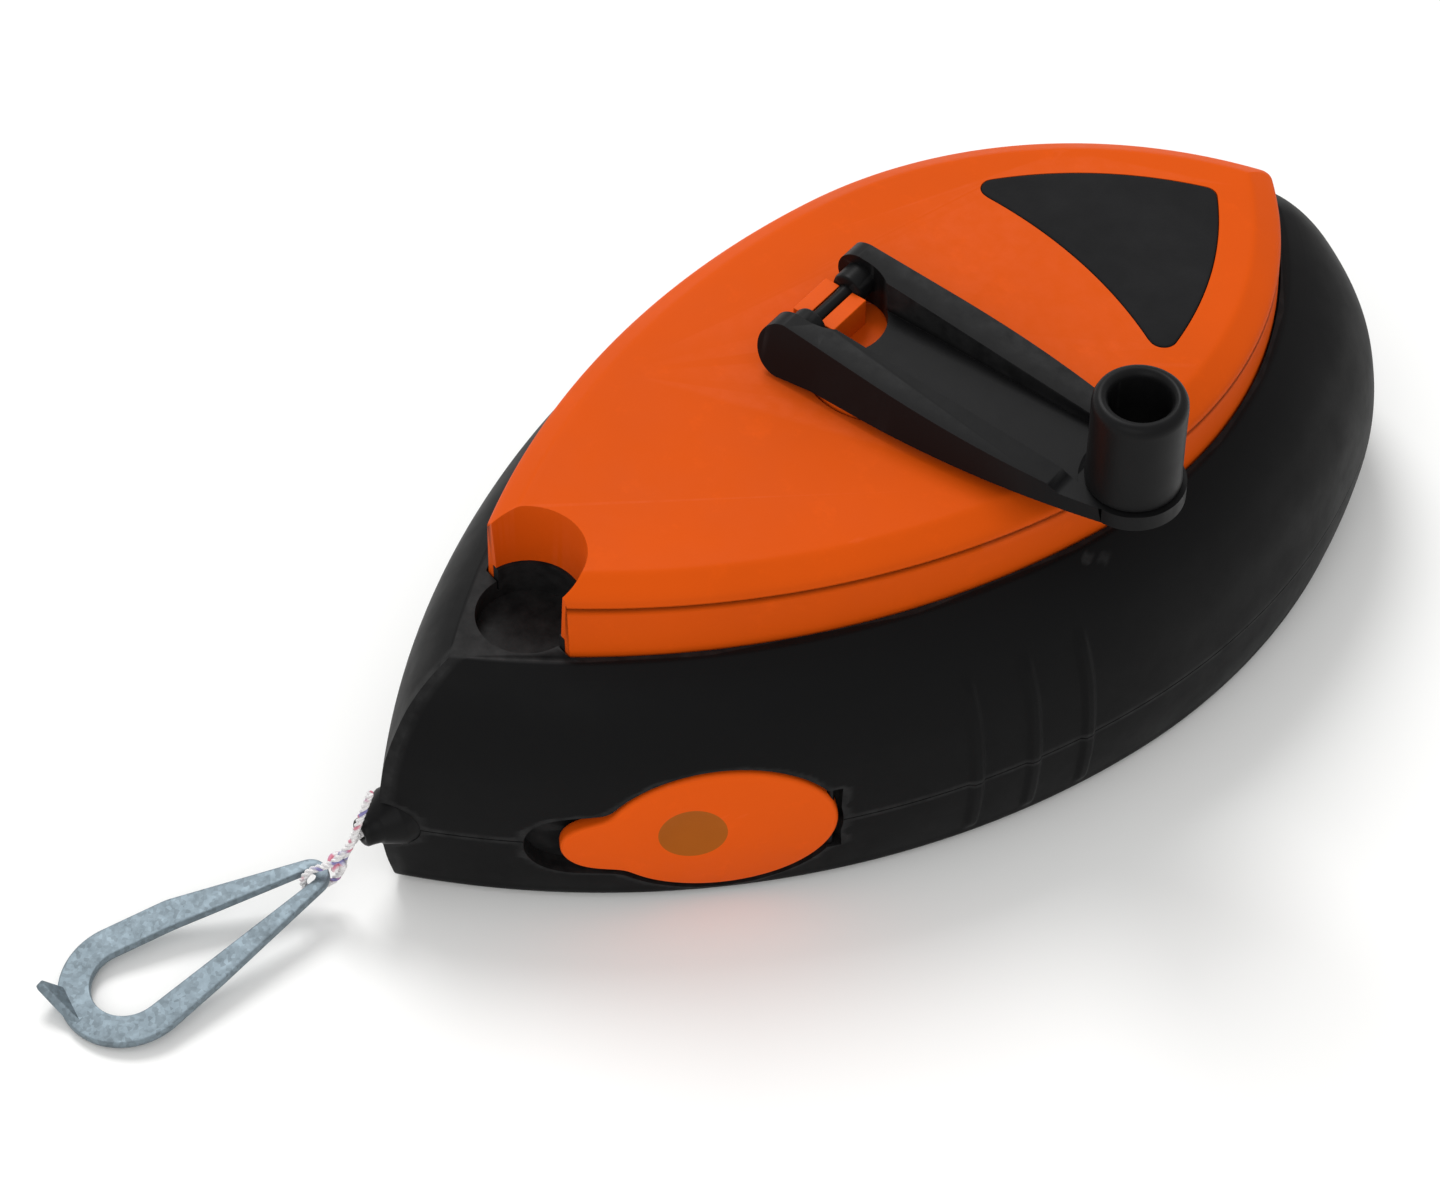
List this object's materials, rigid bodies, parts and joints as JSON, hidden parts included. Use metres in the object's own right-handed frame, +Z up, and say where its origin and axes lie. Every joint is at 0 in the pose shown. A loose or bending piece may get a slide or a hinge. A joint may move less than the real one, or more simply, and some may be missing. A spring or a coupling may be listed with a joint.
{
  "type": "chalk line reel",
  "caption": "Almond-shaped chalk line reel: two-part case, raised cover, fold-over crank with a turning knob, swing fill gate, and a steel hook on the line.",
  "frame": {"origin": "on the reel's axis, on the flat face that the case rests on", "axes": "+Z up along the reel's axis, -Y towards the nose where the line leaves, +X towards the fill gate's side"},
  "size_m": [0.0953, 0.2237, 0.072],
  "materials": {
    "case_black": "moulded ABS, fine texture, semi-matte",
    "cover_orange": "moulded ABS, satin",
    "inlay_black": "soft-touch rubber, matte",
    "gate_orange": "moulded plastic, satin",
    "hub_orange": "moulded plastic, glossy",
    "crank_black": "moulded nylon, semi-gloss",
    "knob_black": "moulded nylon, semi-gloss",
    "nozzle_black": "moulded nylon, semi-gloss",
    "seal_rubber": "soft rubber",
    "bush_plastic": "acetal, smooth",
    "spool_black": "moulded plastic",
    "spindle_steel": "turned steel",
    "zinc_screws": "zinc-plated steel",
    "hook_steel": "galvanised strip steel",
    "felt": "wool felt",
    "line_white": "braided twine with a coloured tracer"
  },
  "bodies": {
    "case": {"lower_shell": "case_black", "upper_shell": "case_black", "top_cover": "cover_orange", "grip_inlay": "inlay_black", "case_screws": "zinc_screws", "gate_hinge_pin": "zinc_screws", "line_nozzle": "nozzle_black", "felt_wiper_upper": "felt", "felt_wiper_lower": "felt", "lower_bush": "bush_plastic", "upper_bush": "bush_plastic", "thrust_washer": "bush_plastic", "inner_line": "line_white", "line_lead": "line_white", "line_knot": "line_white", "hook": "hook_steel"},
    "reel": {"spindle": "spindle_steel", "spool": "spool_black", "line_winding": "line_white", "crank_hub": "hub_orange", "hub_screw": "zinc_screws", "dust_washer": "felt"},
    "crank": {"crank_arm": "crank_black", "crank_pin": "crank_black", "knob_screw": "zinc_screws"},
    "knob": {"knob": "knob_black"},
    "gate": {"fill_gate": "gate_orange", "gate_seal": "seal_rubber"}
  },
  "joints": [
    {"name": "reel_spin", "type": "hinge", "parent": "case", "child": "reel", "pos_m": [0, 0, 0.02], "axis": [0, 0, 1], "continuous": true},
    {"name": "crank_fold", "type": "hinge", "parent": "reel", "child": "crank", "pos_m": [-0.00966, -0.00259, 0.0565], "axis": [0.2588, -0.9659, 0], "range_deg": [0, 160]},
    {"name": "knob_spin", "type": "hinge", "parent": "crank", "child": "knob", "pos_m": [0.04057, 0.01087, 0.056], "axis": [0, 0, 1], "continuous": true},
    {"name": "gate_swing", "type": "hinge", "parent": "case", "child": "gate", "pos_m": [0.0364, -0.03713, 0.0143], "axis": [0, 0, 1], "range_deg": [0, 85]}
  ]
}
